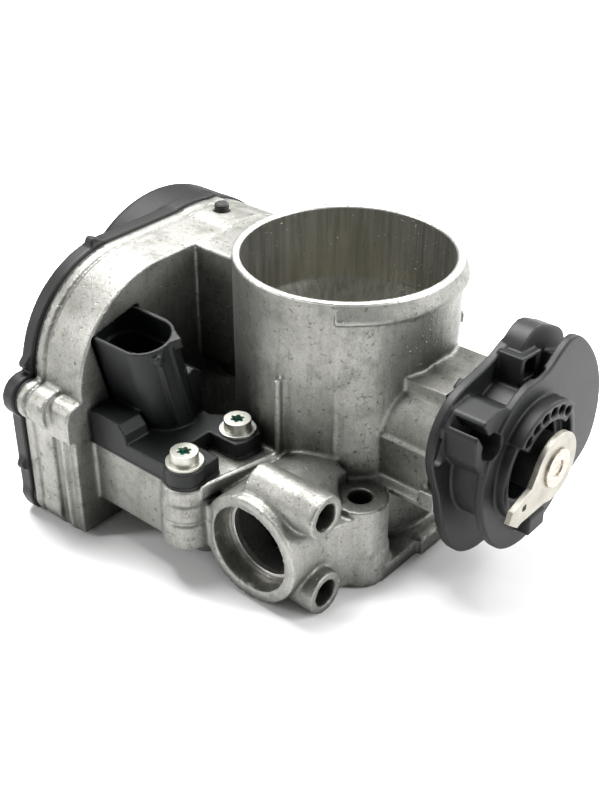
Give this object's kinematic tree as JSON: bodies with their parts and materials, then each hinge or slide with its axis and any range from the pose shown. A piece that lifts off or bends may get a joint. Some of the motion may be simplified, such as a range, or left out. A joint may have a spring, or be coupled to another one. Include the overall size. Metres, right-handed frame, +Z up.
{
  "type": "throttle body",
  "caption": "Cable-operated throttle body with a flanged air passage, a butterfly plate on a shaft, a cable quadrant, an electric idle drive and a side port.",
  "frame": {"origin": "centre of the air passage at the mounting face", "axes": "+Z up the air passage to the air inlet, +X along the throttle shaft towards the cable quadrant, -Y out of the side port"},
  "size_m": [0.1496, 0.1122, 0.0802],
  "materials": {
    "bearing_steel": "ground steel",
    "black_steel": "black oxide",
    "board": "resistor board",
    "cast_aluminium": "die-cast, light grey, satin",
    "connector_plastic": "black plastic, satin",
    "contact_metal": "tinned spring metal",
    "cover_plastic": "glass-filled black plastic, satin",
    "gear_plastic": "natural moulded plastic",
    "magnet": "ferrite magnet",
    "nickel_steel": "nickel plated, pale",
    "plate_brass": "turned brass",
    "quadrant_plastic": "black plastic, satin",
    "rotor_steel": "laminated steel",
    "seal_rubber": "black rubber",
    "shaft_steel": "ground steel",
    "spring_steel": "drawn wire",
    "zinc_steel": "zinc plated"
  },
  "bodies": {
    "housing": {"connector_gasket": "seal_rubber", "connector_housing": "connector_plastic", "connector_screws": "zinc_steel", "connector_terminals": "contact_metal", "cover_gasket": "seal_rubber", "cover_screws": "zinc_steel", "drive_side_bearing": "bearing_steel", "gear_cover": "cover_plastic", "gear_pin": "shaft_steel", "motor_can": "zinc_steel", "motor_end_cap": "gear_plastic", "motor_magnets": "magnet", "port_ring": "bearing_steel", "quadrant_side_bearing": "bearing_steel", "return_spring": "spring_steel", "sensor_board": "board", "shaft_seals": "seal_rubber", "stop_screw_nut": "zinc_steel", "throttle_housing": "cast_aluminium", "throttle_stop_screw": "zinc_steel", "top_plug": "black_steel"},
    "throttle": {"throttle_shaft": "shaft_steel", "throttle_plate": "plate_brass", "plate_screws": "zinc_steel", "cable_quadrant": "quadrant_plastic", "drive_lever": "nickel_steel", "dog_lever": "nickel_steel", "wiper_carrier": "gear_plastic", "wiper_contacts": "contact_metal", "shaft_clip": "spring_steel"},
    "idle_gear": {"idle_sector": "gear_plastic", "idle_wiper": "contact_metal"},
    "intermediate": {"intermediate_gear": "gear_plastic"},
    "motor_spindle": {"motor_rotor": "rotor_steel", "motor_pinion": "gear_plastic"}
  },
  "joints": [
    {"name": "throttle_turn", "type": "hinge", "parent": "housing", "child": "throttle", "pos_m": [0, 0, 0.0393], "axis": [1, 0, 0], "range_deg": [0, 84], "stiffness_Nm_per_rad": 0.05, "springref_deg": -34.38},
    {"name": "idle_gear_turn", "type": "hinge", "parent": "housing", "child": "idle_gear", "pos_m": [0, 0, 0.0393], "axis": [1, 0, 0], "range_deg": [0, 14]},
    {"name": "intermediate_turn", "type": "hinge", "parent": "housing", "child": "intermediate", "pos_m": [0, -0.032, 0.0393], "axis": [1, 0, 0], "range_deg": [-42.5, 0.5]},
    {"name": "motor_turn", "type": "hinge", "parent": "housing", "child": "motor_spindle", "pos_m": [0, -0.04818, 0.01645], "axis": [1, 0, 0], "range_deg": [-1, 155]}
  ],
  "couplings": [
    {"joint": "intermediate_turn", "follows": "idle_gear_turn", "ratio": -3},
    {"joint": "motor_turn", "follows": "idle_gear_turn", "ratio": 11}
  ]
}
